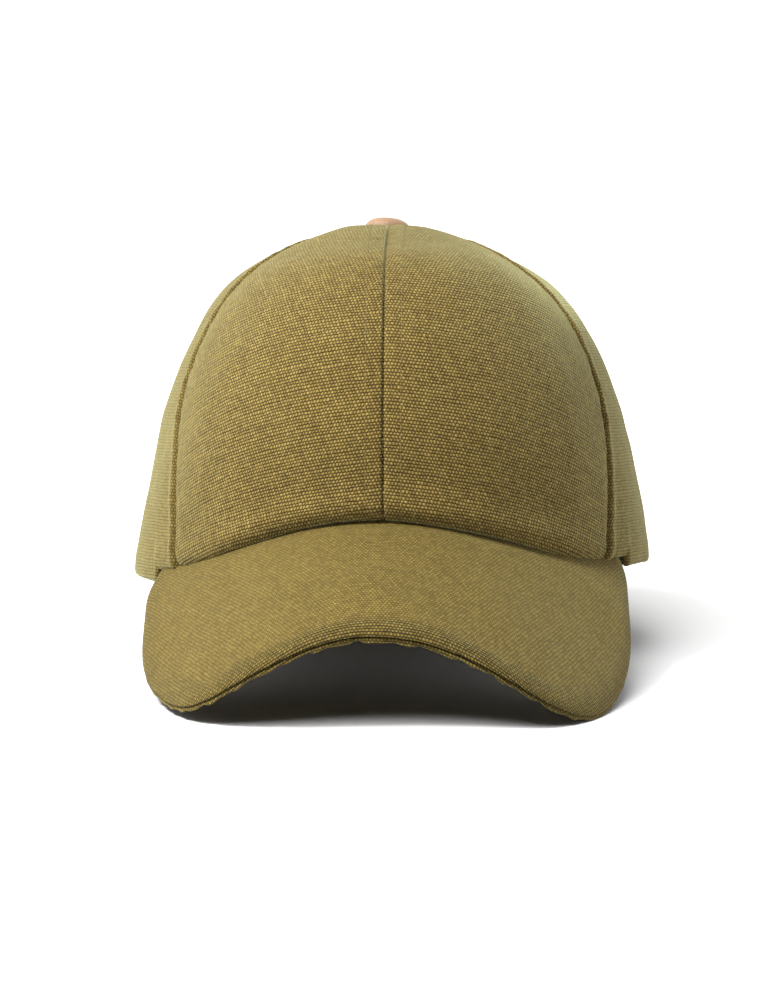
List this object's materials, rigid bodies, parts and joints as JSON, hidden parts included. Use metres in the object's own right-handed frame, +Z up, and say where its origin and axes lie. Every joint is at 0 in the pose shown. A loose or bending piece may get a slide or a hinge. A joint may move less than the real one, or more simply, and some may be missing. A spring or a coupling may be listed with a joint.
{
  "type": "six-panel cap",
  "caption": "Canvas cap with a gored crown, a curved peak and a leather covered button, resting on its peak and rim.",
  "frame": {"origin": "under the middle of the cap's bounding box, on the surface that it rests on", "axes": "+Z up; -Y is the front, where the peak points; +X is right as seen from the front, which is the wearer's left"},
  "size_m": [0.168, 0.2525, 0.1389],
  "materials": {
    "canvas": "two-tone olive canvas, plain weave",
    "peak_canvas": "two-tone olive canvas over a board",
    "leather": "tan, smooth, satin"
  },
  "bodies": {
    "root": {"front_left_panel": "canvas", "front_right_panel": "canvas", "side_left_panel": "canvas", "side_right_panel": "canvas", "back_left_panel": "canvas", "back_right_panel": "canvas", "peak_top": "peak_canvas", "peak_under": "peak_canvas", "top_button": "leather"}
  },
  "joints": []
}
